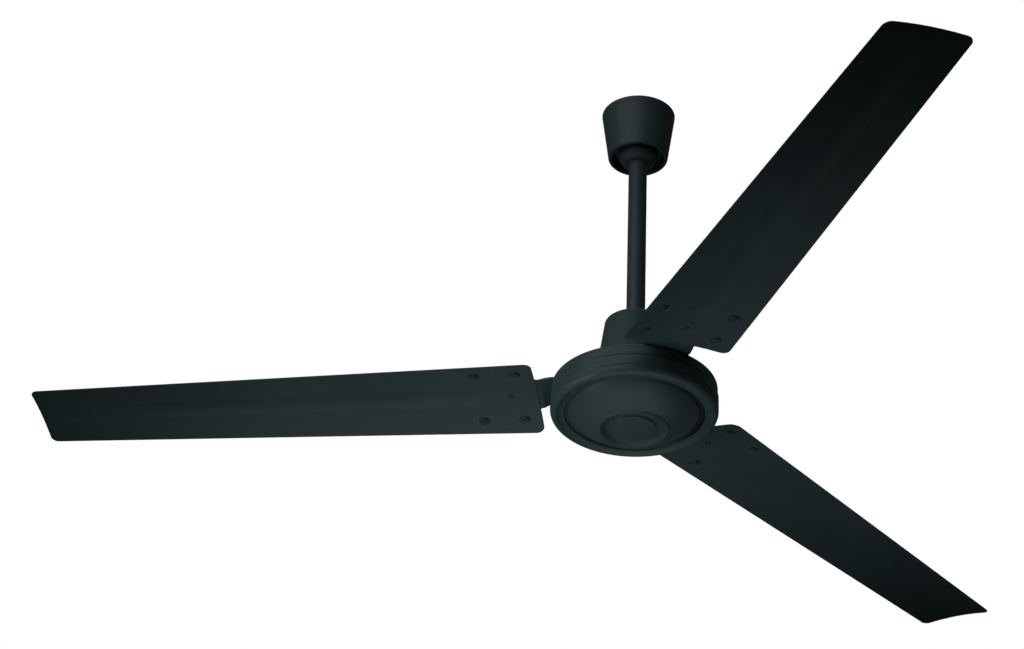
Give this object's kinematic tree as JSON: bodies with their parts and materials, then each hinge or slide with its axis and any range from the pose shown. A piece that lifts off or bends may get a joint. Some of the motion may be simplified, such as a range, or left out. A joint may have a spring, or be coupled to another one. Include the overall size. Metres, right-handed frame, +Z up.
{
  "type": "ceiling fan",
  "caption": "Short-rod ceiling fan with pressed metal blades on an outer-rotor motor, hung from a ceiling bracket inside a tapered canopy.",
  "frame": {"origin": "middle of the two ceiling screw holes, on the bracket's face that meets the ceiling", "axes": "+Z up into the ceiling, +X along the bracket through both ceiling screws, one blade points along -X"},
  "size_m": [1.1059, 1.274, 0.4507],
  "materials": {
    "housing_paint": "satin black paint on die-cast aluminium",
    "cap_paint": "satin black paint",
    "blade_paint": "satin black paint on pressed aluminium sheet",
    "arm_paint": "satin black paint",
    "rod_paint": "satin black paint",
    "cup_paint": "satin black moulding",
    "zinc_plate": "zinc plated",
    "fastener_zinc": "zinc plated",
    "fastener_paint": "black",
    "machined_steel": "machined",
    "ball_steel": "polished",
    "cage_brass": "pressed",
    "lamination": "stacked sheet, lacquered",
    "coil_enamel": "enamelled wire",
    "roller_rubber": "matte",
    "capacitor_case": "moulded",
    "lead_insulation": "moulded",
    "connector_nylon": "moulded"
  },
  "bodies": {
    "hanger": {"hanger_bracket": "zinc_plate", "rubber_roller": "roller_rubber", "roller_bolt": "fastener_zinc", "roller_nut": "fastener_zinc"},
    "suspension": {"shackle": "zinc_plate", "shackle_bolt": "fastener_zinc", "shackle_nut": "fastener_zinc", "downrod": "rod_paint", "coupling": "machined_steel", "coupling_pin": "fastener_zinc", "pin_clip": "fastener_zinc", "set_screws": "machined_steel", "capacitor": "capacitor_case", "capacitor_strap": "machined_steel", "motor_leads": "lead_insulation", "lead_connector": "connector_nylon", "motor_shaft": "machined_steel", "shaft_circlip": "machined_steel", "stator_core": "lamination", "winding": "coil_enamel", "upper_bearing_inner": "machined_steel", "lower_bearing_inner": "machined_steel"},
    "canopy": {"canopy": "cup_paint", "canopy_screw": "machined_steel"},
    "cover": {"coupling_cover": "cup_paint", "cover_screw": "machined_steel"},
    "rotor": {"upper_housing": "housing_paint", "lower_housing": "housing_paint", "rotor_ring": "lamination", "bottom_cap": "cap_paint", "housing_screws": "fastener_zinc", "upper_bearing_outer": "machined_steel", "lower_bearing_outer": "machined_steel", "arm_1": "arm_paint", "arm_2": "arm_paint", "arm_3": "arm_paint", "arm_bolts": "fastener_zinc", "blade_1": "blade_paint", "blade_2": "blade_paint", "blade_3": "blade_paint", "blade_screws": "fastener_paint", "blade_washers": "fastener_zinc", "blade_nuts": "fastener_zinc", "locating_rivets": "fastener_paint"},
    "upper_balls": {"upper_bearing_cage": "cage_brass", "upper_bearing_balls": "ball_steel"},
    "lower_balls": {"lower_bearing_cage": "cage_brass", "lower_bearing_balls": "ball_steel"}
  },
  "joints": [
    {"name": "rod_swing", "type": "hinge", "parent": "hanger", "child": "suspension", "pos_m": [0, 0, -0.0204], "axis": [0, 1, 0], "range_deg": [-3.5, 3.5]},
    {"name": "canopy_slide", "type": "slide", "parent": "suspension", "child": "canopy", "axis": [0, 0, -1], "range_m": [0, 0.08]},
    {"name": "cover_slide", "type": "slide", "parent": "suspension", "child": "cover", "axis": [0, 0, 1], "range_m": [0, 0.055]},
    {"name": "rotor_spin", "type": "hinge", "parent": "suspension", "child": "rotor", "pos_m": [0, 0, -0.4], "axis": [0, 0, 1], "continuous": true},
    {"name": "upper_balls_orbit", "type": "hinge", "parent": "suspension", "child": "upper_balls", "pos_m": [0, 0, -0.384], "axis": [0, 0, 1], "continuous": true},
    {"name": "lower_balls_orbit", "type": "hinge", "parent": "suspension", "child": "lower_balls", "pos_m": [0, 0, -0.437], "axis": [0, 0, 1], "continuous": true}
  ],
  "couplings": [
    {"joint": "upper_balls_orbit", "follows": "rotor_spin", "ratio": 0.62},
    {"joint": "lower_balls_orbit", "follows": "rotor_spin", "ratio": 0.6364}
  ]
}
